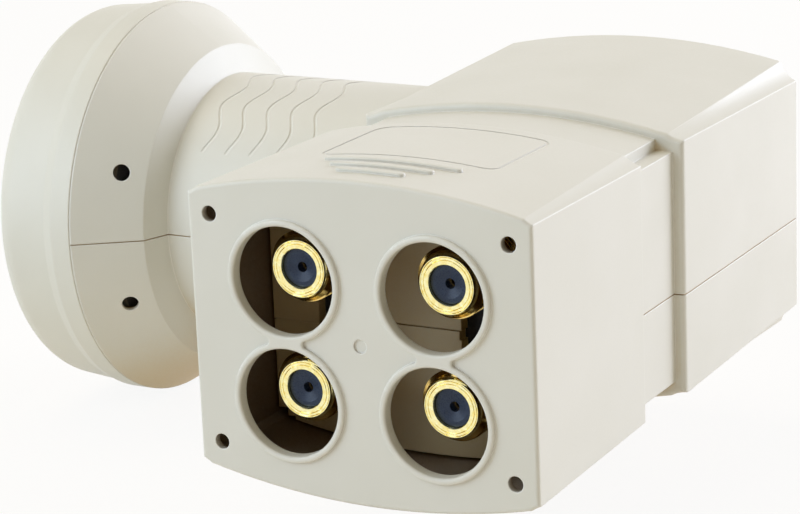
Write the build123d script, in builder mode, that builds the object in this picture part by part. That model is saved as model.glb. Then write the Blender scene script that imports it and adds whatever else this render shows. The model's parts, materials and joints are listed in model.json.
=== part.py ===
"""Satellite LNB with four outputs: a cast feed in a two-part plastic case with a sliding weather cover.

Millimetres. X is the horn axis, from the cap towards the body. The connectors point along -Y, Z is up,
and the two halves of the case part on Z = 0. The origin is the middle of the neck that the clamp holds.
"""
from build123d import *
from math import cos, hypot, pi, radians, sin, sqrt
import os

# Neck
neck_radius = 20.0
neck_length = 35.5
neck_wall = 2.0
fairing_length = 10.0
fairing_drop = 6.0

# Flange behind the horn cap, two cones and a lip that the cap fits over
flange_radius = 30.3
ring_radius = 24.3
flange_length = 9.05
flange_step = 1.5
flange_wall = 1.8
lip_wall = 1.6
lip_relief = 0.4
drain_hole_radius = 1.25
drain_hole_angle = 22.5
drain_hole_setback = 3.1
drain_hole_lip = 0.7
drain_hole_relief = 0.9

# Horn cap
cap_length = 15.0
cap_wall = 1.4
cap_skirt = 3.4
cap_bead = 0.5
cap_bead_length = 1.6
cap_taper = 0.9
cap_edge_radius = 4.0
cap_bead_round = 1.2
cap_seam = 0.15
cap_gap = 0.1
cap_fit = 0.15
seal_width = 1.6
seal_depth = 0.8

# Main body of the case
body_half_width = 24.2
body_width_draft = 0.2
body_front_y = -21.85
body_back_y = 21.0
body_lift = 3.6
body_crown_half = 20.8
body_crown_rise = 1.25
body_cove = 2.4
body_cove_drop = 0.71
body_drop_growth = 2.06
body_cove_dip = 0.15
body_cove_deepening = 0.3
body_edge_round = 0.7
crown_radius = 99.0
round_steps = 4
case_wall = 1.8
seam_width = 0.16
seam_depth = 0.3

# Weather cover, a sleeve that slides on the spigot
cover_face_y = -68.1
cover_length = 33.0
cover_half_width = 24.1
cover_width_flare = 0.3
cover_crown_half = 21.1
cover_crown_flare = 0.3
cover_cove = 2.4
cover_cove_fade = 1.2
cover_cove_drop = 1.24
cover_drop_fade = 0.55
cover_cove_dip = 0.15
cover_dip_fade = 0.1
cover_wall = 1.1
cover_face = 1.1
cover_edge_round = 0.5
cover_rear_round = 0.25
slide_gap = 0.3
rail_length = 8.0
rail_size = 1.1

# Holes in the face of the cover
hole_radius = 7.2
hole_drop = 0.6
hole_edge_round = 0.35
rim_radius = 8.05
rim_height = 0.6
rim_edge_round = 0.3
rim_bridge = 5.0
rim_fillet = 0.5
corner_hole_radius = 1.05
corner_hole_spacing_x = 42.4
corner_hole_spacing_z = 30.6
gate_radius = 0.9
gate_depth = 0.25

# Panel line and grip ribs on top of the cover
panel_width = 25.8
panel_length = 17.0
panel_y = -46.1
panel_corner = 2.0
panel_line = 0.4
panel_depth = 0.07
rib_width = 1.2
rib_height = 0.45
rib_round = 0.2
rib_first_y = -57.6
rib_pitch = 2.95
rib_first_length = 19.7
rib_step = 5.0
rib_count = 3

# Wavy grooves across the top of the neck
wave_first_x = -12.85
wave_pitch = 4.1
wave_count = 5
wave_swing = 0.8
wave_period = 28.0
wave_from = 37.0
wave_points = 27
wave_width = 0.42
wave_depth = 0.07

# Spigot that the cover slides on
spigot_end_y = -51.2
spigot_side_half = 16.08
spigot_notch = 2.5
slot_clearance = 0.35
tongue_height = 1.2
tongue_inset = 0.3
stop_length = 2.0

# F connectors
column_pitch = 21.2
row_pitch = 16.1
thread_radius = 4.76
connector_front_y = -64.4
collar_radius = 4.1
collar_face_radius = 3.6
collar_length = 0.9
collar_bevel = 0.4
thread_lead = 0.6
thread_length = 11.5
shank_radius = 4.45
hex_flats = 11.0
hex_thickness = 2.0
stem_radius = 4.0
bore_radius = 2.6
insulator_setback = 0.7
insulator_hole = 0.68
lead_in_radius = 1.9
lead_in_depth = 0.3
socket_radius = 1.2
socket_setback = 2.4
socket_length = 18.0
socket_bore = 0.55
socket_bore_depth = 9.0
pin_radius = 0.45
pin_length = 6.5
piece_gap = 0.05

# Rubber behind the slots
gasket_width = 14.0
gasket_thickness = 2.5

# Cast chassis, with a board in a tray on either side of it
chassis_half_height = 16.3
chassis_back_y = 12.6
chassis_wall = 1.6
chassis_end_wall = 3.5
tray_depth = 5.35
web = 2.0
post = 4.0
post_inset = 1.6
lid_thickness = 1.2
plate_thickness = 1.6
board_thickness = 0.8
board_gap = 0.3
back_short = 7.0
window_width = 4.0
window_height = 18.0

# Feed horn
guide_radius = 8.75
guide_wall = 1.8
horn_mouth_radius = 12.4
horn_wall = 1.4
horn_depth = 16.0
choke_radii = (17.4, 22.0)
choke_length = 10.5
choke_floor = 2.0
choke_floor_setback = 2.2
collar_thickness = 2.0
collar_gap = 0.2
collar_reach = 12.0

# Screws
screw_radius = 0.95
screw_head_radius = 1.9
screw_head = 1.2
screw_length = 6.0
case_screw_radius = 1.25
case_screw_head_radius = 2.3
case_screw_head = 1.8
case_screw_length = 17.0
case_screw_seat = -10.0
boss_radius = 3.6
boss_x = 18.5
boss_y = 16.4

# Parts on the boards: size along X, Y and Z, and pitch along Y and Z
part_gap = 0.9
puck_radius = 2.7
puck_height = 2.2
puck_pitch = 12.0
mixer_size = (1.0, 4.0, 4.0)
mixer_pitch = 8.0
transistor_size = (0.9, 2.0, 1.4)
transistor_pitch = (3.2, 3.0)
switch_size = (1.2, 5.0, 5.0)
switch_pitch = (12.0, 8.0)
regulator_size = (1.6, 6.5, 3.6)
regulator_pitch = 16.0
capacitor_size = (1.4, 1.6, 2.4)
capacitor_pitch = (3.2, 7.2)
link_radius = 0.3
link_pitch = 2.54
link_count = 6
link_overhang = 0.8

# Places that follow from the sizes above
neck_start = -neck_length / 2
neck_end = neck_length / 2
ring_x = neck_start - flange_step
flange_x = ring_x - flange_length
cap_front_x = flange_x - cap_length
cap_rear_x = flange_x - cap_gap
cap_bore = flange_radius - cap_wall
lip_radius = cap_bore - cap_fit
lip_length = cap_skirt - lip_relief
body_x = neck_end + body_half_width
cover_rear_y = cover_face_y + cover_length
cover_face_back_y = cover_face_y + cover_face
spigot_half_width = cover_half_width - cover_wall - slide_gap
spigot_crown_half = cover_crown_half - cover_wall - slide_gap
spigot_length = body_front_y - spigot_end_y
end_wall_back_y = spigot_end_y + case_wall
slot_radius = thread_radius + slot_clearance
hex_front_y = end_wall_back_y + gasket_thickness + 2 * piece_gap
chassis_front_y = hex_front_y + hex_thickness
tray_front_y = chassis_front_y + chassis_end_wall
tray_back_y = chassis_back_y - chassis_wall
tray_half_height = chassis_half_height - chassis_wall
left_column_x = body_x - column_pitch / 2
right_column_x = body_x + column_pitch / 2
rf_board_x = left_column_x + pin_radius
rf_seat_x = rf_board_x + board_thickness
switch_board_x = right_column_x - pin_radius
switch_seat_x = switch_board_x - board_thickness
chassis_left_x = rf_board_x - tray_depth
chassis_right_x = switch_board_x + tray_depth
chassis_length = chassis_back_y - chassis_front_y
chassis_mid_y = (chassis_back_y + chassis_front_y) / 2
tray_length = tray_back_y - tray_front_y
tray_mid_y = (tray_back_y + tray_front_y) / 2
contact_end_y = tray_front_y + pin_length
mixer_y = contact_end_y + part_gap + mixer_size[1] / 2
capacitor_y = contact_end_y + part_gap + (capacitor_pitch[0] + capacitor_size[1]) / 2
link_y = contact_end_y + 2 * part_gap + capacitor_pitch[0] + capacitor_size[1] + link_radius
puck_y = -guide_radius - guide_wall - part_gap - puck_radius
switch_y = link_y + link_radius + part_gap + (switch_pitch[0] + switch_size[1]) / 2
regulator_y = switch_y + (switch_pitch[0] + switch_size[1] + regulator_size[1]) / 2 + part_gap
screw_spacing_y = tray_length - 2 * post_inset
screw_spacing_z = 2 * (tray_half_height - post_inset)
notch_x = spigot_half_width - spigot_notch

columns = {"left": left_column_x, "right": right_column_x}
rows = {"upper": body_lift + row_pitch / 2, "lower": body_lift - row_pitch / 2}

os.makedirs("parts", exist_ok=True)


def save(piece, name):
    """Labels a finished piece and writes it to its own file."""
    piece.label = name
    export_step(piece, f"parts/{name}.step")


def section_plane(y):
    """Plane across the body at y, centred on the body, with its normal towards the connectors."""
    return Plane(origin=(body_x, y, body_lift), x_dir=(1, 0, 0), z_dir=(0, -1, 0))


def side_plane(x, y=0.0):
    """Plane across the horn axis at x, centred on the body's height, with its normal along X."""
    return Plane(origin=(x, y, body_lift), x_dir=(0, 1, 0), z_dir=(1, 0, 0))


def crown_height(crown_half, x):
    """Height of a crowned face above the body's middle, at x from its centre line."""
    return crown_half - crown_radius + sqrt(crown_radius**2 - x**2)


def crowned_section(y, half_width, crown_half, cove, cove_drop, cove_dip, inset=0.0):
    """Section with a convex top and bottom, flat sides and a hollow cove along each corner."""
    edge = half_width - cove
    end = crown_height(crown_half, edge)
    side_half = end - cove_drop
    with BuildSketch(section_plane(y)) as section:
        with BuildLine():
            ThreePointArc((-edge, end), (0, crown_half), (edge, end))
            SagittaArc((edge, end), (half_width, side_half), -cove_dip)
            Line((half_width, side_half), (half_width, -side_half))
            SagittaArc((half_width, -side_half), (edge, -end), -cove_dip)
            ThreePointArc((edge, -end), (0, -crown_half), (-edge, -end))
            SagittaArc((-edge, -end), (-half_width, -side_half), -cove_dip)
            Line((-half_width, -side_half), (-half_width, side_half))
            SagittaArc((-half_width, side_half), (-edge, end), -cove_dip)
        make_face()
        if inset:
            offset(amount=-inset, kind=Kind.INTERSECTION)
    return section.sketch


def body_section(y, inset=0.0):
    """Section of the main body, which narrows and rises from its front to its back."""
    share = (y - body_front_y) / (body_back_y - body_front_y)
    return crowned_section(
        y,
        body_half_width - share * body_width_draft,
        body_crown_half + share * body_crown_rise,
        body_cove,
        body_cove_drop + share * body_drop_growth,
        body_cove_dip + share * body_cove_deepening,
        inset,
    )


def cover_section(y, inset=0.0, swell=0.0):
    """Section of the weather cover, which flares from its rear edge to its face."""
    share = (cover_rear_y - y) / cover_length
    return crowned_section(
        y,
        cover_half_width + share * cover_width_flare,
        cover_crown_half + share * cover_crown_flare + swell,
        cover_cove - share * cover_cove_fade,
        cover_cove_drop - share * cover_drop_fade + swell,
        cover_cove_dip - share * cover_dip_fade,
        inset,
    )


def rounded_form(section, front_y, back_y, front_round, back_round):
    """Form through a section from front to back, with its end edges rounded over in small steps."""
    turns = [radians(90 * step / round_steps) for step in range(round_steps + 1)]
    front = [(front_y + front_round * (1 - cos(turn)), front_round * (1 - sin(turn))) for turn in turns]
    back = [(back_y - back_round * (1 - cos(turn)), back_round * (1 - sin(turn))) for turn in turns]
    with BuildPart() as form:
        loft(sections=[section(y, inset) for y, inset in front + back[::-1]], ruled=True)
    return form.part


def spigot_section(y, inset=0.0):
    """Section of the spigot, crowned top and bottom with a step at each corner."""
    end = crown_height(spigot_crown_half, notch_x)
    with BuildSketch(section_plane(y)) as section:
        with BuildLine():
            ThreePointArc((-notch_x, end), (0, spigot_crown_half), (notch_x, end))
            Polyline(
                (notch_x, end),
                (notch_x, spigot_side_half),
                (spigot_half_width, spigot_side_half),
                (spigot_half_width, -spigot_side_half),
                (notch_x, -spigot_side_half),
                (notch_x, -end),
            )
            ThreePointArc((notch_x, -end), (0, -spigot_crown_half), (-notch_x, -end))
            Polyline(
                (-notch_x, -end),
                (-notch_x, -spigot_side_half),
                (-spigot_half_width, -spigot_side_half),
                (-spigot_half_width, spigot_side_half),
                (-notch_x, spigot_side_half),
                (-notch_x, end),
            )
        make_face()
        if inset:
            offset(amount=-inset, kind=Kind.INTERSECTION)
    return section.sketch


# Outside of the case as one solid: horn flange, neck, main body and spigot
main_body = rounded_form(body_section, body_front_y, body_back_y, body_edge_round, body_edge_round)

with BuildPart() as case_form:
    with BuildSketch(Plane.XZ):
        with BuildLine():
            Polyline(
                (flange_x, 0),
                (flange_x, flange_radius),
                (ring_x, ring_radius),
                (neck_start, neck_radius),
                (neck_end, neck_radius),
                (neck_end + fairing_length, neck_radius - fairing_drop),
                (neck_end + fairing_length, 0),
                close=True,
            )
        make_face()
    revolve(axis=Axis.X)
    add(main_body)
    extrude(spigot_section(body_front_y + case_wall), amount=spigot_length + case_wall)

# Fine groove round the outside where the two halves meet
flange_slope = (flange_radius - ring_radius) / flange_length
groove_outline = [
    (flange_x - lip_length, flange_radius - seam_depth + flange_slope * lip_length),
    (ring_x - seam_depth, ring_radius - seam_depth),
    (neck_start - seam_depth, neck_radius - seam_depth),
    (neck_end + seam_depth, neck_radius - seam_depth),
    (neck_end + seam_depth + body_width_draft, body_back_y - seam_depth),
    (body_x + body_half_width - body_width_draft - seam_depth, body_back_y - seam_depth),
    (body_x + body_half_width - seam_depth, body_front_y + seam_depth),
    (body_x + spigot_half_width - seam_depth, body_front_y + seam_depth),
    (body_x + spigot_half_width - seam_depth, spigot_end_y),
    (body_x - spigot_half_width + seam_depth, spigot_end_y),
    (body_x - spigot_half_width + seam_depth, body_front_y + seam_depth),
    (neck_end + seam_depth, body_front_y + seam_depth),
    (neck_end + seam_depth, -neck_radius + seam_depth),
    (neck_start - seam_depth, -neck_radius + seam_depth),
    (ring_x - seam_depth, -ring_radius + seam_depth),
    (flange_x - lip_length, -flange_radius + seam_depth - flange_slope * lip_length),
]
with BuildPart() as seam_groove:
    add(case_form.part)
    with BuildSketch():
        Circle(4 * flange_radius)
    extrude(amount=-seam_width, mode=Mode.INTERSECT)
    with BuildSketch():
        with BuildLine():
            Polyline(*groove_outline, close=True)
        make_face()
    extrude(amount=-seam_width, mode=Mode.SUBTRACT)

# Hollow inside of the case
flange_drop = flange_wall * hypot(1, flange_slope)
step_x = neck_start - flange_wall
inner_ring_x = ring_x - flange_wall
inner_ring_radius = flange_radius - flange_drop - flange_slope * (inner_ring_x - flange_x)
with BuildPart() as case_hollow:
    with BuildSketch(Plane.XZ):
        with BuildLine():
            Polyline(
                (flange_x, 0),
                (flange_x, lip_radius - lip_wall),
                (inner_ring_x, inner_ring_radius),
                (step_x, neck_radius - neck_wall),
                (neck_end + case_wall, neck_radius - neck_wall),
                (neck_end + fairing_length - case_wall, neck_radius - neck_wall - fairing_drop),
                (neck_end + fairing_length - case_wall, 0),
                close=True,
            )
        make_face()
    revolve(axis=Axis.X)
    loft(
        sections=[
            body_section(body_front_y + case_wall, case_wall),
            body_section(body_back_y - case_wall, case_wall),
        ]
    )
    extrude(spigot_section(body_front_y + 2 * case_wall, case_wall), amount=spigot_length + case_wall)
    # Bosses for the screws that hold the halves together at the back
    with BuildSketch(Plane.XY.offset(body_lift)):
        with Locations((body_x - boss_x, boss_y), (body_x + boss_x, boss_y)):
            Circle(boss_radius)
    extrude(amount=2 * body_crown_half, both=True, mode=Mode.SUBTRACT)

with BuildPart() as case:
    add(case_form.part)
    with BuildSketch(Plane.XZ):
        with BuildLine():
            Polyline(
                (flange_x + flange_wall, lip_radius - lip_wall),
                (flange_x + flange_wall, lip_radius),
                (flange_x - lip_length, lip_radius),
                (flange_x - lip_length, lip_radius - lip_wall),
                close=True,
            )
        make_face()
    revolve(axis=Axis.X)
    add(case_hollow.part, mode=Mode.SUBTRACT)
    # Groove for the cap's seal
    with BuildSketch(Plane.XZ):
        with Locations((flange_x - lip_length / 2, lip_radius)):
            Rectangle(seal_width + 2 * piece_gap, 2 * seal_depth)
    revolve(axis=Axis.X, mode=Mode.SUBTRACT)
    # Recesses and holes for those screws
    with BuildSketch(Plane.XY.offset(case_screw_seat)):
        with Locations((body_x - boss_x, boss_y), (body_x + boss_x, boss_y)):
            Circle(case_screw_head_radius + piece_gap)
    extrude(amount=-body_crown_half, mode=Mode.SUBTRACT)
    with BuildSketch(Plane.XY.offset(case_screw_seat)):
        with Locations((body_x - boss_x, boss_y), (body_x + boss_x, boss_y)):
            Circle(case_screw_radius + piece_gap)
    extrude(amount=case_screw_length + board_gap, mode=Mode.SUBTRACT)
    # Slots in the end wall, one for each column of connectors
    with BuildSketch(section_plane(end_wall_back_y)):
        with Locations((-column_pitch / 2, 0), (column_pitch / 2, 0)):
            SlotCenterToCenter(row_pitch, 2 * slot_radius, rotation=90)
    extrude(amount=2 * case_wall, mode=Mode.SUBTRACT)
    # Stops at the end of the corner steps, which keep the cover on
    with BuildSketch(section_plane(spigot_end_y + stop_length)):
        with GridLocations(2 * notch_x + rail_size, 2 * spigot_side_half + rail_size, 2, 2):
            Rectangle(rail_size, rail_size)
    extrude(amount=stop_length)
    # Drain holes square to the flange, either side of the parting plane, wider behind a thin lip
    drain_x = ring_x - drain_hole_setback
    drain_r = ring_radius + flange_slope * drain_hole_setback
    for angle in (radians(drain_hole_angle), radians(-drain_hole_angle)):
        around = (-cos(angle), sin(angle))
        place = (drain_x, drain_r * around[0], drain_r * around[1])
        hole_plane = Plane(origin=place, z_dir=(flange_slope, *around))
        with BuildSketch(hole_plane):
            Circle(drain_hole_radius)
        extrude(amount=2 * flange_wall, both=True, mode=Mode.SUBTRACT)
        with BuildSketch(hole_plane.offset(-drain_hole_lip)):
            Circle(drain_hole_radius + drain_hole_relief)
        extrude(amount=-2 * flange_wall, mode=Mode.SUBTRACT)

# Step in the parting line at the bridge between the two slots
bridge = column_pitch - 2 * slot_radius
with BuildPart() as tongue:
    with BuildSketch(Plane(origin=(body_x, spigot_end_y + case_wall / 2, 0))):
        Rectangle(bridge - 2 * tongue_inset, case_wall)
    extrude(amount=tongue_height)

with BuildPart() as tongue_recess:
    with BuildSketch(Plane(origin=(body_x, spigot_end_y + case_wall / 2, 0))):
        Rectangle(bridge, case_wall)
    extrude(amount=tongue_height + seam_width)

# Wavy grooves on top of the neck
with BuildPart() as wavy_grooves:
    with BuildSketch(Plane.XZ):
        with Locations((0, neck_radius)):
            Rectangle(neck_length, 2 * wave_depth)
    revolve(axis=Axis.X)
    with BuildSketch():
        for index in range(wave_count):
            middle = wave_first_x + index * wave_pitch
            sweep_angle = 180 - 2 * wave_from
            near = []
            far = []
            for step in range(wave_points):
                angle = wave_from + sweep_angle * step / (wave_points - 1)
                x = middle - wave_swing * cos(2 * pi * (angle - 90) / wave_period)
                y = -neck_radius * cos(radians(angle))
                near.append((x - wave_width / 2, y))
                far.append((x + wave_width / 2, y))
            with BuildLine():
                Spline(*near)
                Line(near[-1], far[-1])
                Spline(*far)
                Line(far[0], near[0])
            make_face()
    extrude(amount=2 * neck_radius, mode=Mode.INTERSECT)

with BuildPart() as upper_housing:
    add(case.part)
    split(bisect_by=Plane.XY, keep=Keep.TOP)
    add(tongue_recess.part, mode=Mode.SUBTRACT)
    add(wavy_grooves.part, mode=Mode.SUBTRACT)
save(upper_housing.part, "upper_housing")

with BuildPart() as lower_housing:
    add(case.part)
    split(bisect_by=Plane.XY, keep=Keep.BOTTOM)
    add(seam_groove.part, mode=Mode.SUBTRACT)
    add(tongue.part)
save(lower_housing.part, "lower_housing")


def cap_section(inset):
    """Half section of the horn cap's outside, or of its inside when inset by the wall."""
    rear = flange_radius - inset
    bead_x = flange_x - cap_skirt
    with BuildSketch(Plane.XZ) as section:
        with BuildLine():
            FilletPolyline(
                (cap_rear_x, rear),
                (bead_x, rear),
                (bead_x - cap_bead_length, rear - cap_bead),
                (cap_front_x + inset, rear - cap_bead - cap_taper),
                (cap_front_x + inset, 0),
                radius=[cap_bead_round, cap_bead_round, cap_edge_radius - inset],
            )
            Polyline((cap_front_x + inset, 0), (cap_rear_x, 0), (cap_rear_x, rear))
        make_face()
    return section.sketch


with BuildPart() as horn_cap:
    revolve(cap_section(0), axis=Axis.X)
    revolve(cap_section(cap_wall), axis=Axis.X, mode=Mode.SUBTRACT)
    rear_edges = horn_cap.edges().group_by(Axis.X)[-1]
    chamfer(rear_edges.sort_by(SortBy.RADIUS)[-1], cap_seam)
save(horn_cap.part, "horn_cap")

with BuildPart() as cap_seal:
    with BuildSketch(Plane.XZ):
        with Locations((flange_x - lip_length / 2, (lip_radius - seal_depth + cap_bore) / 2)):
            Rectangle(seal_width, cap_bore - lip_radius + seal_depth - 2 * piece_gap)
    revolve(axis=Axis.X)
save(cap_seal.part, "cap_seal")

# Line round the panel on top of the cover, and the raised grip ribs in front of it
with BuildPart() as panel_groove:
    loft(
        sections=[
            cover_section(cover_rear_y, swell=panel_depth),
            cover_section(cover_face_y, swell=panel_depth),
        ]
    )
    loft(
        sections=[
            cover_section(cover_rear_y, swell=-panel_depth),
            cover_section(cover_face_y, swell=-panel_depth),
        ],
        mode=Mode.SUBTRACT,
    )
    with BuildSketch(Plane(origin=(body_x, panel_y, body_lift))):
        RectangleRounded(panel_width, panel_length, panel_corner)
        offset(amount=-panel_line, mode=Mode.SUBTRACT)
    extrude(amount=2 * cover_crown_half, mode=Mode.INTERSECT)

with BuildPart() as grip_ribs:
    loft(
        sections=[
            cover_section(cover_rear_y, swell=rib_height),
            cover_section(cover_face_y, swell=rib_height),
        ]
    )
    loft(
        sections=[
            cover_section(cover_rear_y, swell=-cover_wall / 2),
            cover_section(cover_face_y, swell=-cover_wall / 2),
        ],
        mode=Mode.SUBTRACT,
    )
    with BuildSketch(Plane(origin=(body_x, rib_first_y, body_lift))):
        for index in range(rib_count):
            with Locations((0, -index * rib_pitch)):
                SlotOverall(rib_first_length - index * rib_step, rib_width)
    extrude(amount=2 * cover_crown_half, mode=Mode.INTERSECT)
    fillet(grip_ribs.faces().sort_by(Axis.Z)[-rib_count:].edges(), rib_round)

cover_form = rounded_form(cover_section, cover_face_y, cover_rear_y, cover_edge_round, cover_rear_round)
with BuildPart() as weather_cover:
    add(cover_form)
    add(grip_ribs.part)
    loft(
        sections=[
            cover_section(cover_rear_y, cover_wall),
            cover_section(cover_face_back_y, cover_wall),
        ],
        mode=Mode.SUBTRACT,
    )
    add(panel_groove.part, mode=Mode.SUBTRACT)
    # Rims joined in pairs, one pair for each column
    with BuildSketch(section_plane(cover_face_y)) as rims:
        with Locations((0, -hole_drop)):
            with GridLocations(column_pitch, row_pitch, 2, 2):
                Circle(rim_radius)
            with GridLocations(column_pitch, 0, 2, 1):
                Rectangle(rim_bridge, row_pitch)
        waists = [v for v in rims.vertices() if abs(v.Y + hole_drop) < row_pitch / 4]
        fillet(waists, rim_fillet)
    extrude(amount=rim_height)
    fillet(weather_cover.faces().sort_by(Axis.Y)[0:2].edges(), rim_edge_round)
    with BuildSketch(section_plane(cover_face_back_y)):
        with Locations((0, -hole_drop)):
            with GridLocations(column_pitch, row_pitch, 2, 2):
                Circle(hole_radius)
        with GridLocations(corner_hole_spacing_x, corner_hole_spacing_z, 2, 2):
            Circle(corner_hole_radius)
    extrude(amount=cover_face + rim_height, mode=Mode.SUBTRACT)
    round_edges = weather_cover.edges().filter_by(GeomType.CIRCLE)
    hole_edges = [edge for edge in round_edges if abs(edge.radius - hole_radius) < piece_gap]
    fillet(ShapeList(hole_edges).group_by(Axis.Y)[0], hole_edge_round)
    with BuildSketch(section_plane(cover_face_y)):
        Circle(gate_radius)
    extrude(amount=-gate_depth, mode=Mode.SUBTRACT)
    # Rails inside the rear corners, which ride in the steps of the spigot
    rail_low = spigot_side_half + slide_gap
    rail_high = crown_height(cover_crown_half, notch_x) - cover_wall / 2
    with BuildSketch(section_plane(cover_rear_y)):
        with GridLocations(2 * (notch_x + slide_gap) + rail_size, rail_low + rail_high, 2, 2):
            Rectangle(rail_size, rail_high - rail_low)
    extrude(amount=rail_length)
save(weather_cover.part, "weather_cover")


# F connectors: body, insulator and centre contact
hex_back_y = chassis_front_y
insulator_front_y = connector_front_y + insulator_setback
socket_front_y = connector_front_y + socket_setback
thread_start_y = connector_front_y + collar_length
thread_end_y = thread_start_y + thread_lead + thread_length


def turned_profile(x, z, points):
    """Turns a closed half section, given as radius and Y, about the connector axis at x and z."""
    with BuildPart() as turned:
        with BuildSketch(Plane(origin=(x, 0, z))):
            with BuildLine():
                Polyline(*points, close=True)
            make_face()
        revolve(axis=Axis((x, 0, z), (0, 1, 0)))
    return turned.part


for row, z in rows.items():
    for column, x in columns.items():
        shell_points = [
            (bore_radius, connector_front_y),
            (collar_face_radius, connector_front_y),
            (collar_radius, connector_front_y + collar_bevel),
            (collar_radius, thread_start_y),
            (thread_radius, thread_end_y - thread_length),
            (thread_radius, thread_end_y),
            (shank_radius, thread_end_y),
            (shank_radius, hex_back_y - piece_gap),
            (stem_radius, hex_back_y - piece_gap),
            (stem_radius, tray_front_y),
            (bore_radius, tray_front_y),
        ]
        shell = turned_profile(x, z, shell_points)
        with BuildPart() as connector:
            add(shell)
            with BuildSketch(Plane(origin=(x, hex_back_y, z), x_dir=(1, 0, 0), z_dir=(0, -1, 0))):
                RegularPolygon(hex_flats / 2, 6, major_radius=False)
                Circle(stem_radius, mode=Mode.SUBTRACT)
            extrude(amount=hex_thickness)
        save(connector.part, f"connector_{row}_{column}")

        insulator_radius = bore_radius - piece_gap
        insulator_points = [
            (lead_in_radius, insulator_front_y),
            (insulator_radius, insulator_front_y),
            (insulator_radius, tray_front_y),
            (socket_radius + piece_gap, tray_front_y),
            (socket_radius + piece_gap, socket_front_y - piece_gap),
            (insulator_hole, socket_front_y - piece_gap),
            (insulator_hole, insulator_front_y + lead_in_depth),
        ]
        save(turned_profile(x, z, insulator_points), f"insulator_{row}_{column}")

        socket_back_y = socket_front_y + socket_length
        contact_points = [
            (socket_bore, socket_front_y),
            (socket_radius, socket_front_y),
            (socket_radius, socket_back_y),
            (pin_radius, socket_back_y),
            (pin_radius, contact_end_y),
            (0, contact_end_y),
            (0, socket_front_y + socket_bore_depth),
            (socket_bore, socket_front_y + socket_bore_depth),
        ]
        save(turned_profile(x, z, contact_points), f"contact_{row}_{column}")

# Rubber plugs behind the slots, each round two connectors
for column, x in columns.items():
    with BuildPart() as slot_gasket:
        with BuildSketch(section_plane(end_wall_back_y + piece_gap + gasket_thickness)):
            with Locations((x - body_x, 0)):
                SlotCenterToCenter(row_pitch, gasket_width, rotation=90)
                with GridLocations(0, row_pitch, 1, 2):
                    Circle(shank_radius + piece_gap, mode=Mode.SUBTRACT)
        extrude(amount=gasket_thickness)
    save(slot_gasket.part, f"slot_gasket_{column}")

# Cast feed: choke rings, horn, waveguide with its locating collars, and the plate over the left tray
choke_back_x = flange_x + choke_floor_setback + choke_floor
choke_front_x = choke_back_x - choke_floor
guide_radius_outside = guide_radius + guide_wall
hollow_slope = (lip_radius - lip_wall - inner_ring_radius) / (inner_ring_x - flange_x)
choke_floor_radius = lip_radius - lip_wall - hollow_slope * (choke_back_x - flange_x) - piece_gap
guide_end_x = rf_board_x - piece_gap
horn_front_x = choke_back_x - horn_depth
collar_radius_in_neck = neck_radius - neck_wall - collar_gap
with BuildPart() as feed_horn:
    with BuildSketch(Plane.XZ):
        with BuildLine():
            Polyline(
                (horn_front_x, 0),
                (horn_front_x, horn_mouth_radius + horn_wall),
                (choke_front_x, horn_mouth_radius + horn_wall),
                (choke_front_x, choke_floor_radius),
                (choke_back_x, choke_floor_radius),
                (choke_back_x, guide_radius_outside),
                (guide_end_x, guide_radius_outside),
                (guide_end_x, 0),
                close=True,
            )
        make_face()
        for ring in choke_radii:
            with Locations((choke_front_x - choke_length / 2, ring + horn_wall / 2)):
                Rectangle(choke_length, horn_wall)
        for reach in (-collar_reach, collar_reach):
            with Locations((reach, collar_radius_in_neck / 2)):
                Rectangle(collar_thickness, collar_radius_in_neck)
    revolve(axis=Axis.X)
    with BuildSketch(side_plane(chassis_left_x, chassis_mid_y)):
        Rectangle(chassis_length, 2 * chassis_half_height)
        with GridLocations(screw_spacing_y, screw_spacing_z, 2, 2):
            with Locations((tray_mid_y - chassis_mid_y, 0)):
                Circle(screw_radius + piece_gap, mode=Mode.SUBTRACT)
    extrude(amount=-plate_thickness)
    with BuildSketch(Plane.XZ):
        with BuildLine():
            Polyline(
                (horn_front_x, 0),
                (horn_front_x, horn_mouth_radius),
                (choke_back_x, guide_radius),
                (guide_end_x, guide_radius),
                (guide_end_x, 0),
                close=True,
            )
        make_face()
    revolve(axis=Axis.X, mode=Mode.SUBTRACT)
save(feed_horn.part, "feed_horn")

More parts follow.
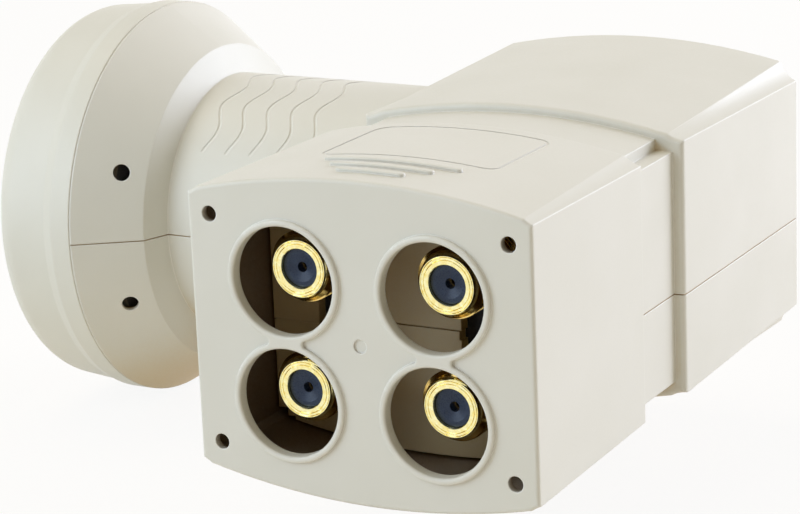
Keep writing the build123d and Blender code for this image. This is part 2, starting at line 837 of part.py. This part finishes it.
# Cast chassis: a tray on either side, the back short behind the waveguide and room cast out between
with BuildPart() as chassis:
    with BuildSketch(side_plane(chassis_left_x, chassis_mid_y)):
        Rectangle(chassis_length, 2 * chassis_half_height)
    extrude(amount=chassis_right_x - chassis_left_x)
    for tray_x, outside_x in ((rf_seat_x, chassis_left_x), (switch_seat_x, chassis_right_x)):
        depth = outside_x - tray_x
        with BuildSketch(side_plane(tray_x, tray_mid_y)):
            Rectangle(tray_length, 2 * tray_half_height)
            with GridLocations(tray_length - post, 2 * tray_half_height - post, 2, 2):
                Rectangle(post, post, mode=Mode.SUBTRACT)
        extrude(amount=depth, mode=Mode.SUBTRACT)
        with BuildSketch(side_plane(outside_x, tray_mid_y)):
            with GridLocations(screw_spacing_y, screw_spacing_z, 2, 2):
                Circle(screw_radius + piece_gap)
        extrude(amount=-depth, mode=Mode.SUBTRACT)
    # Room for the waveguide through the left tray, and the back short behind it
    with BuildSketch(Plane.YZ.offset(rf_seat_x)):
        Circle(guide_radius_outside + board_gap)
    extrude(amount=chassis_left_x - rf_seat_x, mode=Mode.SUBTRACT)
    with BuildSketch(Plane.YZ.offset(rf_seat_x)):
        Circle(guide_radius)
    extrude(amount=back_short, mode=Mode.SUBTRACT)
    front_room = (tray_front_y + web, -guide_radius_outside - web)
    back_room = (-guide_radius_outside, guide_radius_outside)
    rooms = (
        (rf_seat_x + web, switch_seat_x - web, *front_room),
        (rf_seat_x + back_short + web, switch_seat_x - web, *back_room),
    )
    for left, right, front, back in rooms:
        with BuildSketch(Plane.XY.offset(body_lift)):
            with Locations(((left + right) / 2, (front + back) / 2)):
                Rectangle(right - left, back - front)
        extrude(amount=chassis_half_height, both=True, mode=Mode.SUBTRACT)
    with BuildSketch(side_plane(rf_seat_x, link_y)):
        Rectangle(window_width, window_height)
    extrude(amount=switch_seat_x - rf_seat_x, mode=Mode.SUBTRACT)
    with BuildSketch(section_plane(tray_front_y)):
        with GridLocations(column_pitch, row_pitch, 2, 2):
            Circle(stem_radius + piece_gap)
    extrude(amount=chassis_end_wall, mode=Mode.SUBTRACT)
save(chassis.part, "chassis")

with BuildPart() as chassis_lid:
    with BuildSketch(side_plane(chassis_right_x, chassis_mid_y)):
        Rectangle(chassis_length, 2 * chassis_half_height)
        with GridLocations(screw_spacing_y, screw_spacing_z, 2, 2):
            with Locations((tray_mid_y - chassis_mid_y, 0)):
                Circle(screw_radius + piece_gap, mode=Mode.SUBTRACT)
    extrude(amount=lid_thickness)
save(chassis_lid.part, "chassis_lid")


def cover_screws(seat_x, inward):
    """Four pan head screws on a cover plate, with their heads on seat_x and their shanks inwards."""
    with BuildPart() as screws:
        with BuildSketch(side_plane(seat_x, tray_mid_y)):
            with GridLocations(screw_spacing_y, screw_spacing_z, 2, 2):
                Circle(screw_head_radius)
        extrude(amount=-inward * screw_head)
        with BuildSketch(side_plane(seat_x, tray_mid_y)):
            with GridLocations(screw_spacing_y, screw_spacing_z, 2, 2):
                Circle(screw_radius)
        extrude(amount=inward * screw_length)
    return screws.part


save(cover_screws(chassis_right_x + lid_thickness, -1), "lid_screws")
save(cover_screws(chassis_left_x - plate_thickness, 1), "horn_screws")

with BuildPart() as housing_screws:
    with BuildSketch(Plane.XY.offset(case_screw_seat)):
        with Locations((body_x - boss_x, boss_y), (body_x + boss_x, boss_y)):
            Circle(case_screw_head_radius)
    extrude(amount=-case_screw_head)
    with BuildSketch(Plane.XY.offset(case_screw_seat)):
        with Locations((body_x - boss_x, boss_y), (body_x + boss_x, boss_y)):
            Circle(case_screw_radius)
    extrude(amount=case_screw_length)
save(housing_screws.part, "housing_screws")


# Boards, each lying on its seat in the chassis under the contacts of one column
board_length = tray_length - 2 * board_gap
board_height = 2 * (tray_half_height - board_gap)


def board(seat_x, outward):
    """Circuit board with its corners cut away for the posts and holes for the link pins."""
    with BuildPart() as sheet:
        with BuildSketch(side_plane(seat_x, tray_mid_y)):
            Rectangle(board_length, board_height)
            with GridLocations(tray_length - post, 2 * tray_half_height - post, 2, 2):
                Rectangle(post + 2 * board_gap, post + 2 * board_gap, mode=Mode.SUBTRACT)
            with Locations((link_y - tray_mid_y, 0)):
                with GridLocations(0, link_pitch, 1, link_count):
                    Circle(link_radius + piece_gap, mode=Mode.SUBTRACT)
        extrude(amount=outward * board_thickness)
    return sheet.part


def board_parts(face_x, outward, size, y, pitch, count):
    """Block-shaped parts of one kind in a grid on a board's face, about the place y."""
    with BuildPart() as blocks:
        with BuildSketch(side_plane(face_x, y)):
            with GridLocations(*pitch, *count):
                Rectangle(size[1], size[2])
        extrude(amount=outward * size[0])
    return blocks.part


save(board(rf_seat_x, -1), "rf_board")
save(board(switch_seat_x, 1), "switch_board")

with BuildPart() as oscillator_pucks:
    with BuildSketch(side_plane(rf_board_x, puck_y)):
        with GridLocations(0, puck_pitch, 1, 2):
            Circle(puck_radius)
    extrude(amount=-puck_height)
save(oscillator_pucks.part, "oscillator_pucks")

mixer_chips = board_parts(rf_board_x, -1, mixer_size, mixer_y, (0, mixer_pitch), (1, 2))
save(mixer_chips, "mixer_chips")

amplifier_transistors = board_parts(rf_board_x, -1, transistor_size, puck_y, transistor_pitch, (2, 2))
save(amplifier_transistors, "amplifier_transistors")

switch_chips = board_parts(switch_board_x, 1, switch_size, switch_y, switch_pitch, (2, 2))
save(switch_chips, "switch_chips")

regulator_grid = (0, regulator_pitch)
voltage_regulators = board_parts(switch_board_x, 1, regulator_size, regulator_y, regulator_grid, (1, 2))
save(voltage_regulators, "voltage_regulators")

capacitors = board_parts(switch_board_x, 1, capacitor_size, capacitor_y, capacitor_pitch, (2, 3))
save(capacitors, "capacitors")

with BuildPart() as link_pins:
    with BuildSketch(side_plane(rf_board_x - link_overhang, link_y)):
        with GridLocations(0, link_pitch, 1, link_count):
            Circle(link_radius)
    extrude(amount=switch_board_x - rf_board_x + 2 * link_overhang)
save(link_pins.part, "link_pins")
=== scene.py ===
"""Looks of the satellite LNB: ivory moulded case, gold plated connectors and a soft white studio."""
import bmesh
import bpy
import json
from math import cos, pi, radians, sin
from mathutils import Matrix, Vector


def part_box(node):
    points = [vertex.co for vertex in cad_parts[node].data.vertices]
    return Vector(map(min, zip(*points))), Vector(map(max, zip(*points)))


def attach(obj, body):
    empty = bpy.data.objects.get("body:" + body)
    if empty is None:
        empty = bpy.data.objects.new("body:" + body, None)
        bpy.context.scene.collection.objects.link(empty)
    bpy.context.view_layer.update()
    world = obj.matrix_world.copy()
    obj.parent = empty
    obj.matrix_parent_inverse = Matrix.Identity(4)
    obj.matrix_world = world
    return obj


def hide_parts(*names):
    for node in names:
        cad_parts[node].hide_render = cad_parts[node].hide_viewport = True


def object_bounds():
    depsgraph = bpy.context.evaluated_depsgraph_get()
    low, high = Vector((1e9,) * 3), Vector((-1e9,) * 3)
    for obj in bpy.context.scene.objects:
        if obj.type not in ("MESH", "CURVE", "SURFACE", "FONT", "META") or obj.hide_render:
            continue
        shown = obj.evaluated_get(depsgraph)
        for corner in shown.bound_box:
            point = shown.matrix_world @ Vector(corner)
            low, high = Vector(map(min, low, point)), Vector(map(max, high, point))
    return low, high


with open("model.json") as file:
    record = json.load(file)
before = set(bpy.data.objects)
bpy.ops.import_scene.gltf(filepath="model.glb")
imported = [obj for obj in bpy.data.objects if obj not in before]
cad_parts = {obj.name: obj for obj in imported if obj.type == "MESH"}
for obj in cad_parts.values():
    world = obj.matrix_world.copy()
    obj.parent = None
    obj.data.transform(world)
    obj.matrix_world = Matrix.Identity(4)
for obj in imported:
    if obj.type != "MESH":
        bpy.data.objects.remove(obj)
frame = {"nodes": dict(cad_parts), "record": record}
cad_box = [list(corner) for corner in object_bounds()]
MM = 0.001

# Camera fitted to the photograph: angles in degrees, all else in millimetres
camera_azimuth = 29.04
camera_elevation = 15.79
camera_roll = -2.38
camera_right = 11.28
camera_up = -7.09
camera_back = 443.35
camera_offset_x = -2.15
camera_lens = 131.27
camera_sensor = 36
camera_near_limit = 10.0

# Threads of the F connectors, in millimetres: 3/8 inch with 32 turns to the inch
thread_pitch = 25.4 / 32
thread_depth = 0.46
thread_radius = 4.76
thread_lead = 0.6
thread_length = 11.5
# Outline of one turn from root to crest, in shares of the pitch and of the depth
thread_outline = ((0.0, 0.0), (0.14, 0.0), (0.44, 1.0), (0.68, 1.0))

# Nose, flange and stem of the F connectors, in millimetres
bore_radius = 2.6
groove_radii = (3.24, 3.62)
groove_width = 0.12
groove_depth = 0.12
collar_face_radius = 3.86
collar_radius = 4.1
collar_bevel = 0.4
collar_length = 0.7
shank_radius = 4.45
hex_flats = 11.0
hex_thickness = 2.0
hex_bevel_width = 0.5
hex_bevel_depth = 0.3
stem_radius = 4.0
stem_length = 3.5
edge_round = 0.09

# Waver in the depth of the nose's grooves: waves to a turn, and share of the depth
groove_waves = 7
groove_waver = 0.25

# Fineness of the connectors' meshes: steps to a turn, weld distance in millimetres, angle in degrees
turn_steps = 96
weld_gap = 0.0002
sharp_angle = 28

# Noise in the surfaces: the span that most of it fills, the grain's detail and the strength of its relief
noise_low = 0.3
noise_high = 0.7
grain_detail = 3.0
relief_strength = 0.5

# Edges: painted highlight, the flatness at which their colour is fully the highlight colour, and not at
# all
full_highlight_at = 0.86
no_highlight_at = 0.98
edge_samples = 6

# Painted shade in hollows: the share of open sky at which it is full, and gone
hollow_at = 0.08
open_at = 0.5
hollow_samples = 8

# Studio floor: gap under the part in millimetres, size in metres, share of white that the eye sees
floor_gap = 1.0
floor_size = 8.0
floor_white = 0.9


def linear(hex_colour):
    """Turns an sRGB hex colour into linear red, green, blue and alpha."""
    values = [int(hex_colour[i:i + 2], 16) / 255 for i in (1, 3, 5)]
    return [v / 12.92 if v <= 0.04045 else ((v + 0.055) / 1.055) ** 2.4 for v in values] + [1.0]


def per_metre(size_mm):
    """Texture scale at which one feature measures size_mm."""
    return 1 / (size_mm * MM)


def add_node(tree, kind, inputs=None, output=0, **settings):
    """Adds a node with its settings, fills its inputs with values or links, and gives its output."""
    made = tree.nodes.new(kind)
    for name, value in settings.items():
        setattr(made, name, value)
    for name, value in (inputs or {}).items():
        if isinstance(value, bpy.types.NodeSocket):
            tree.links.new(value, made.inputs[name])
        else:
            made.inputs[name].default_value = value
    return made.outputs[output] if made.outputs else None


def mottled_surface(
    name, colours, mottle_mm, grain_mm, roughness, relief_mm, shader,
    stretch=(1, 1, 1), edge_mm=0.0, painted_highlight_colour=None,
    painted_shade_mm=0.0, painted_shade_colour=None, own_painted_shade=True,
):
    """Surface whose colour wanders over mottle_mm and whose fine grain gives its roughness and relief.

    The grain of moulded, turned and rolled skins is about 0.05 mm, too fine to show, so those finishes
    draw it coarser, at their grain_mm. shader fills the shader's other sockets. stretch draws the grain
    out along each axis where it is under 1. Sharp edges look rounded off over edge_mm, and where there is
    a painted_highlight_colour, the colour goes over to it at edges: a painted highlight. In hollows
    narrower than about painted_shade_mm the colour goes over to painted_shade_colour: painted shade.
    own_painted_shade leaves other pieces out of that.
    """
    material = bpy.data.materials.new(name)
    material.use_nodes = True
    tree = material.node_tree
    tree.nodes.clear()
    place = add_node(tree, "ShaderNodeTexCoord", output="Object")
    drawn = add_node(tree, "ShaderNodeMapping", {"Vector": place, "Scale": stretch})
    mottle = add_node(tree, "ShaderNodeTexNoise", {"Vector": place, "Scale": per_metre(mottle_mm)})
    fine = {"Vector": drawn, "Scale": per_metre(grain_mm), "Detail": grain_detail}
    grain = add_node(tree, "ShaderNodeTexNoise", fine)
    span = {"From Min": noise_low, "From Max": noise_high}
    patches = {"Value": mottle, **span}
    light, shade = (linear(colour) for colour in colours)
    # A mix of colours takes its factor at input 0 and its colours at inputs 6 and 7, and gives output 2
    mix = {0: add_node(tree, "ShaderNodeMapRange", patches), 6: light, 7: shade}
    colour = add_node(tree, "ShaderNodeMix", mix, output=2, data_type="RGBA")
    bump = {"Height": grain, "Distance": relief_mm * MM, "Strength": relief_strength}
    if edge_mm:
        round_off = {"Radius": edge_mm * MM}
        bump["Normal"] = add_node(tree, "ShaderNodeBevel", round_off, samples=edge_samples)
    # Painted highlight: the colour goes pale where the rounded-off normal turns away from the true one,
    # at edges
    if painted_highlight_colour:
        facing = add_node(tree, "ShaderNodeNewGeometry", output="True Normal")
        turned = {0: bump["Normal"], 1: facing}
        flatness = add_node(tree, "ShaderNodeVectorMath", turned, output="Value", operation="DOT_PRODUCT")
        highlight_share = {"Value": flatness, "From Min": full_highlight_at, "From Max": no_highlight_at}
        mix = {0: add_node(tree, "ShaderNodeMapRange", highlight_share), 6: linear(painted_highlight_colour), 7: colour}
        colour = add_node(tree, "ShaderNodeMix", mix, output=2, data_type="RGBA")
    # Painted shade: the colour goes over to a darker, browner one where little open sky is seen
    if painted_shade_mm:
        reach = {"Distance": painted_shade_mm * MM}
        openness = add_node(
            tree, "ShaderNodeAmbientOcclusion", reach, output="AO",
            samples=hollow_samples, only_local=own_painted_shade,
        )
        depth = {"Value": openness, "From Min": hollow_at, "From Max": open_at}
        mix = {0: add_node(tree, "ShaderNodeMapRange", depth), 6: linear(painted_shade_colour), 7: colour}
        colour = add_node(tree, "ShaderNodeMix", mix, output=2, data_type="RGBA")
    smooth, rough = roughness
    gloss = {"Value": grain, **span, "To Min": smooth, "To Max": rough}
    sockets = {
        "Base Color": colour,
        "Roughness": add_node(tree, "ShaderNodeMapRange", gloss),
        "Normal": add_node(tree, "ShaderNodeBump", bump),
        **shader,
    }
    surface = add_node(tree, "ShaderNodeBsdfPrincipled", sockets)
    add_node(tree, "ShaderNodeOutputMaterial", {"Surface": surface})
    return material


def moulded_abs(name, light, shade, painted_hollow_shade, own_painted_shade=False):
    """Ivory ABS from a finely eroded mould: satin, with softly rounded edges painted pale and bright as a
    highlight.

    Its hollows are painted warm to brown: painted shade, as light loses its blue between ivory walls.
    """
    return mottled_surface(
        name, (light, shade), mottle_mm=14.0, grain_mm=0.35, roughness=(0.40, 0.52), relief_mm=0.008,
        edge_mm=0.3, painted_highlight_colour="#F8F7F1",
        painted_shade_mm=30.0, painted_shade_colour=painted_hollow_shade, own_painted_shade=own_painted_shade, shader={"IOR": 1.53},
    )


def gold_plate(name, light, shade):
    """Gold over turned brass in the given colours, with fine lathe rings in the shine, and its corners
    painted brown: painted shade.
    """
    return mottled_surface(
        name, (light, shade), mottle_mm=0.6, grain_mm=0.12, roughness=(0.10, 0.20), relief_mm=0.003,
        stretch=(0.08, 1.0, 0.08), painted_shade_mm=1.2, painted_shade_colour="#B07A28", shader={"Metallic": 1.0},
    )


def insulator_plastic():
    """Navy moulded fluoropolymer in the connector's mouth: smooth, dark and only faintly shiny."""
    return mottled_surface(
        "navy_fluoropolymer", ("#27364F", "#202D44"), mottle_mm=1.2, grain_mm=0.15,
        roughness=(0.24, 0.34), relief_mm=0.003, edge_mm=0.06, shader={"IOR": 1.37},
    )


def spring_contact():
    """Plated phosphor bronze of the centre contacts and the link pins: a dull yellow gleam."""
    return mottled_surface(
        "plated_bronze", ("#C9AC6C", "#A98A4E"), mottle_mm=0.8, grain_mm=0.2,
        roughness=(0.24, 0.38), relief_mm=0.002, shader={"Metallic": 1.0},
    )


def moulded_rubber():
    """Black rubber of the gaskets and the cap's seal: matt, with a dusty bloom."""
    return mottled_surface(
        "black_rubber", ("#171614", "#24221F"), mottle_mm=2.5, grain_mm=0.3,
        roughness=(0.62, 0.80), relief_mm=0.01, shader={"IOR": 1.5},
    )


def cast_aluminium():
    """Bare die casting: grey, with a cloudy flow pattern and a fine grainy skin."""
    return mottled_surface(
        "die_cast_aluminium", ("#C9CACB", "#AEB0B2"), mottle_mm=9.0, grain_mm=0.5,
        roughness=(0.42, 0.60), relief_mm=0.02, shader={"Metallic": 1.0},
    )


def rolled_metal(name, light, shade):
    """Rolled or plated sheet and screws: fine lines one way and a clean, cool shine."""
    return mottled_surface(
        name, (light, shade), mottle_mm=4.0, grain_mm=0.25,
        roughness=(0.28, 0.42), relief_mm=0.004, stretch=(1.0, 0.05, 1.0), shader={"Metallic": 1.0},
    )


def board_laminate():
    """Circuit board under green solder mask: a woven, slightly shiny green."""
    return mottled_surface(
        "masked_laminate", ("#35683A", "#2B5A30"), mottle_mm=3.0, grain_mm=0.6,
        roughness=(0.30, 0.42), relief_mm=0.01, shader={"IOR": 1.5},
    )


def fired_ceramic(name, light, shade):
    """Fired ceramic of the resonators and capacitors: matt bodies with a fine speckle."""
    return mottled_surface(
        name, (light, shade), mottle_mm=0.6, grain_mm=0.25,
        roughness=(0.42, 0.56), relief_mm=0.006, shader={"IOR": 1.6},
    )


def chip_epoxy():
    """Black moulding compound of the chips: matt, from a blasted mould."""
    return mottled_surface(
        "black_chip_epoxy", ("#1B1B1D", "#252527"), mottle_mm=0.6, grain_mm=0.25,
        roughness=(0.50, 0.62), relief_mm=0.006, shader={"IOR": 1.55},
    )


# The last colour of each ivory ABS finish is the painted shade in its hollows: pale brown on the case,
# dark brown in the cap and the cover
finishes = {
    "case_plastic": moulded_abs("ivory_abs_case", "#DBDAD1", "#D7D6CC", "#D0B57C"),
    "cap_plastic": moulded_abs("ivory_abs_cap", "#DBDAD0", "#D6D5CA", "#6E5A38", own_painted_shade=True),
    "cover_plastic": moulded_abs("ivory_abs_cover", "#DBDAD1", "#D8D7CD", "#6A4A1C"),
    # The nose's pale gold is partly its own colour and partly a painted highlight, standing in for its
    # bright shine
    "gold_plate": gold_plate("gold_plated_brass", "#FFF9C6", "#F9E896"),
    "insulator_plastic": insulator_plastic(),
    "contact_metal": spring_contact(),
    "black_rubber": moulded_rubber(),
    "cast_metal": cast_aluminium(),
    "lid_sheet": rolled_metal("rolled_aluminium_lid", "#D6D8DA", "#C2C5C8"),
    "screw_steel": rolled_metal("zinc_plated_steel", "#C4C6C8", "#A9ACAF"),
    "board_laminate": board_laminate(),
    "puck_ceramic": fired_ceramic("resonator_ceramic", "#D8C8A8", "#C9B793"),
    "chip_plastic": chip_epoxy(),
    "capacitor_ceramic": fired_ceramic("brown_capacitor_ceramic", "#A98B62", "#8F734D"),
}
# Threads are painted a deeper gold than the pale nose: painted shade, for the light that bounces between
# their flanks
painted_shade_thread_gold = gold_plate("gold_plated_thread_painted_shade", "#F5D88C", "#E6C068")

for entry in frame["record"]["subparts"]:
    node_object = frame["nodes"][entry["node"]]
    node_object.data.materials.clear()
    node_object.data.materials.append(finishes[entry["material_slot"]])


def ring(mesh, axis, radius, y, groove=0.0):
    """Ring of vertices round a connector's axis, in millimetres, sunk by a groove of wavering depth."""
    x, z = axis
    verts = []
    for step in range(turn_steps):
        angle = 2 * pi * step / turn_steps
        sunk = groove * (1 - groove_waver + groove_waver * sin(groove_waves * angle + radius))
        place = Vector((x + radius * cos(angle), y + sunk, z + radius * sin(angle)))
        verts.append(mesh.verts.new(place * MM))
    return verts


def join_rings(mesh, rings):
    """Faces between neighbouring rings, closed round."""
    for first, second in zip(rings, rings[1:]):
        for step in range(turn_steps):
            after = (step + 1) % turn_steps
            mesh.faces.new((first[step], first[after], second[after], second[step]))


def thread_surface(mesh, axis, start_y, end_y):
    """Helical thread with flat crests and roots, cut back to the bevel at its start."""
    x, z = axis
    corners_per_turn = len(thread_outline)
    turns = int((end_y - start_y) / thread_pitch) + 2
    rows = []
    for row in range(turns * corners_per_turn + 1):
        share, height = thread_outline[row % corners_per_turn]
        line = []
        for step in range(turn_steps + 1):
            turn = row // corners_per_turn + share + step / turn_steps - 1
            y = start_y + turn * thread_pitch
            bevel = collar_radius + (thread_radius - collar_radius) * (y - start_y) / thread_lead
            radius = min(thread_radius - thread_depth * (1 - height), bevel)
            if y <= start_y:
                y, radius = start_y, collar_radius
            if y >= end_y:
                y, radius = end_y, shank_radius
            angle = 2 * pi * step / turn_steps
            place = Vector((x + radius * cos(angle), y, z + radius * sin(angle)))
            line.append(mesh.verts.new(place * MM))
        rows.append(line)
    for first, second in zip(rows, rows[1:]):
        for step in range(turn_steps):
            corners = (first[step], first[step + 1], second[step + 1], second[step])
            mesh.faces.new(corners).material_index = 1


def hex_flange(mesh, axis, front_y):
    """Six-sided flange behind the thread, bevelled at its front."""
    x, z = axis
    sides = 6
    corner = hex_flats / 2 / cos(pi / sides)
    levels = (
        (corner - hex_bevel_width, front_y),
        (corner, front_y + hex_bevel_depth),
        (corner, front_y + hex_thickness),
    )
    rows = []
    for radius, y in levels:
        angles = [2 * pi * side / sides for side in range(sides)]
        places = [Vector((x + radius * cos(a), y, z + radius * sin(a))) for a in angles]
        rows.append([mesh.verts.new(place * MM) for place in places])
    for first, second in zip(rows, rows[1:]):
        for side in range(sides):
            after = (side + 1) % sides
            mesh.faces.new((first[side], first[after], second[after], second[side]))
    mesh.faces.new(rows[0])
    mesh.faces.new(list(reversed(rows[-1])))


def threaded_connector(name, node):
    """F connector with its real thread, in the place of the plain turned body."""
    low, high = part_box(node)
    axis = ((low[0] + high[0]) / 2 / MM, (low[2] + high[2]) / 2 / MM)
    front = low[1] / MM
    back = high[1] / MM
    thread_start = front + collar_length
    thread_end = thread_start + thread_lead + thread_length
    mesh = bmesh.new()
    nose = [
        (bore_radius, back),
        (bore_radius, front + edge_round),
        (bore_radius + edge_round, front),
    ]
    rings = [ring(mesh, axis, radius, y) for radius, y in nose]
    for radius in groove_radii:
        rings.append(ring(mesh, axis, radius - groove_width / 2, front))
        rings.append(ring(mesh, axis, radius, front, groove_depth))
        rings.append(ring(mesh, axis, radius + groove_width / 2, front))
    collar = [
        (collar_face_radius - edge_round, front),
        (collar_face_radius, front + edge_round),
        (collar_radius - edge_round / 2, front + collar_bevel - edge_round),
        (collar_radius, front + collar_bevel + edge_round),
        (collar_radius, thread_start),
    ]
    rings += [ring(mesh, axis, radius, y) for radius, y in collar]
    tail = [
        (shank_radius, thread_end),
        (shank_radius, back - stem_length),
        (stem_radius, back - stem_length),
        (stem_radius, back),
        (bore_radius, back),
    ]
    join_rings(mesh, rings)
    thread_surface(mesh, axis, thread_start, thread_end)
    join_rings(mesh, [ring(mesh, axis, radius, y) for radius, y in tail])
    bmesh.ops.remove_doubles(mesh, verts=mesh.verts, dist=weld_gap * MM)
    bmesh.ops.dissolve_degenerate(mesh, edges=mesh.edges, dist=weld_gap * MM)
    hex_flange(mesh, axis, back - stem_length - hex_thickness)
    bmesh.ops.recalc_face_normals(mesh, faces=mesh.faces)
    data = bpy.data.meshes.new(name)
    mesh.to_mesh(data)
    mesh.free()
    data.shade_smooth()
    data.set_sharp_from_angle(angle=radians(sharp_angle))
    data.materials.append(finishes["gold_plate"])
    data.materials.append(painted_shade_thread_gold)
    connector = bpy.data.objects.new(name, data)
    bpy.context.collection.objects.link(connector)
    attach(connector, "main_body")
    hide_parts(node)


for row in ("upper", "lower"):
    for column in ("left", "right"):
        threaded_connector(f"threaded_connector_{row}_{column}", f"connector_{row}_{column}")


def white_to_the_eye(tree):
    """Factor that is 1 for camera, glossy and transmission rays, so that metal sees the white too."""
    camera = add_node(tree, "ShaderNodeLightPath", output="Is Camera Ray")
    glossy = add_node(tree, "ShaderNodeLightPath", output="Is Glossy Ray")
    through = add_node(tree, "ShaderNodeLightPath", output="Is Transmission Ray")
    seen = add_node(tree, "ShaderNodeMath", {0: camera, 1: glossy}, operation="MAXIMUM")
    return add_node(tree, "ShaderNodeMath", {0: seen, 1: through}, operation="MAXIMUM")


def studio_floor():
    """Matt white floor that keeps the part's shadow but looks almost as white as the surround."""
    material = bpy.data.materials.new("studio_floor_paper")
    material.use_nodes = True
    tree = material.node_tree
    tree.nodes.clear()
    paper = add_node(tree, "ShaderNodeBsdfDiffuse", {"Color": linear("#F3ECDD")})
    glow = add_node(tree, "ShaderNodeEmission", {"Color": linear("#FFFFFF"), "Strength": 1.0})
    seen = {0: white_to_the_eye(tree), 1: floor_white}
    share = add_node(tree, "ShaderNodeMath", seen, operation="MULTIPLY")
    surface = add_node(tree, "ShaderNodeMixShader", {0: share, 1: paper, 2: glow})
    add_node(tree, "ShaderNodeOutputMaterial", {"Surface": surface})
    half = floor_size / 2
    height = cad_box[0][2] - floor_gap * MM
    data = bpy.data.meshes.new("studio_floor")
    corners = [(-half, -half, height), (half, -half, height), (half, half, height), (-half, half, height)]
    data.from_pydata(corners, [], [(0, 1, 2, 3)])
    data.materials.append(material)
    floor = bpy.data.objects.new("studio_floor", data)
    bpy.context.collection.objects.link(floor)


def studio_world(level, colour):
    """White surround to the eye, and an even soft light from all round on everything else."""
    world = bpy.data.worlds.new("studio_surround")
    bpy.context.scene.world = world
    world.use_nodes = True
    tree = world.node_tree
    tree.nodes.clear()
    light = add_node(tree, "ShaderNodeBackground", {"Color": linear(colour), "Strength": level})
    white = add_node(tree, "ShaderNodeBackground", {"Color": linear("#FFFFFF"), "Strength": 1.0})
    surface = add_node(tree, "ShaderNodeMixShader", {0: white_to_the_eye(tree), 1: light, 2: white})
    add_node(tree, "ShaderNodeOutputWorld", {"Surface": surface})


def soft_box(name, place, size, watts, colour):
    """Square area light that looks at the part, with its place and size in metres."""
    data = bpy.data.lights.new(name, "AREA")
    data.energy = watts
    data.size = size
    data.color = linear(colour)[:3]
    lamp = bpy.data.objects.new(name, data)
    lamp.location = place
    lamp.rotation_euler = (-Vector(place)).to_track_quat("-Z", "Y").to_euler()
    bpy.context.collection.objects.link(lamp)


studio_floor()
studio_world(level=0.38, colour="#FFF4E0")
soft_box("top_light", place=(-0.3, 0.0, 1.06), size=0.7, watts=3.8, colour="#FFF0D6")
soft_box("right_light", place=(0.6, 0.66, 0.27), size=0.6, watts=9.0, colour="#E7EDFF")
soft_box("left_light", place=(-0.28, -0.38, 0.11), size=0.32, watts=0.86, colour="#D0E6FF")
soft_box("high_light", place=(-0.56, -0.67, 0.67), size=0.7, watts=2.8, colour="#E0EFFF")


def photo_camera():
    """Camera at the photograph's place, angle and lens."""
    a, e, r = (radians(angle) for angle in (camera_azimuth, camera_elevation, camera_roll))
    back = Vector((sin(a) * cos(e), -cos(a) * cos(e), sin(e)))
    level_right = Vector((cos(a), sin(a), 0))
    level_up = back.cross(level_right)
    right = cos(r) * level_right + sin(r) * level_up
    up = cos(r) * level_up - sin(r) * level_right
    place = camera_right * right + camera_up * up + camera_back * back
    place.x += camera_offset_x
    data = bpy.data.cameras.new("photo_camera")
    data.sensor_fit = "HORIZONTAL"
    data.sensor_width = camera_sensor
    data.lens = camera_lens
    data.clip_start = camera_near_limit * MM
    camera = bpy.data.objects.new("photo_camera", data)
    turn = Matrix((right, up, back)).transposed().to_4x4()
    camera.matrix_world = Matrix.Translation(place * MM) @ turn
    bpy.context.collection.objects.link(camera)
    bpy.context.scene.camera = camera


photo_camera()
bpy.context.scene.view_settings.view_transform = "Standard"
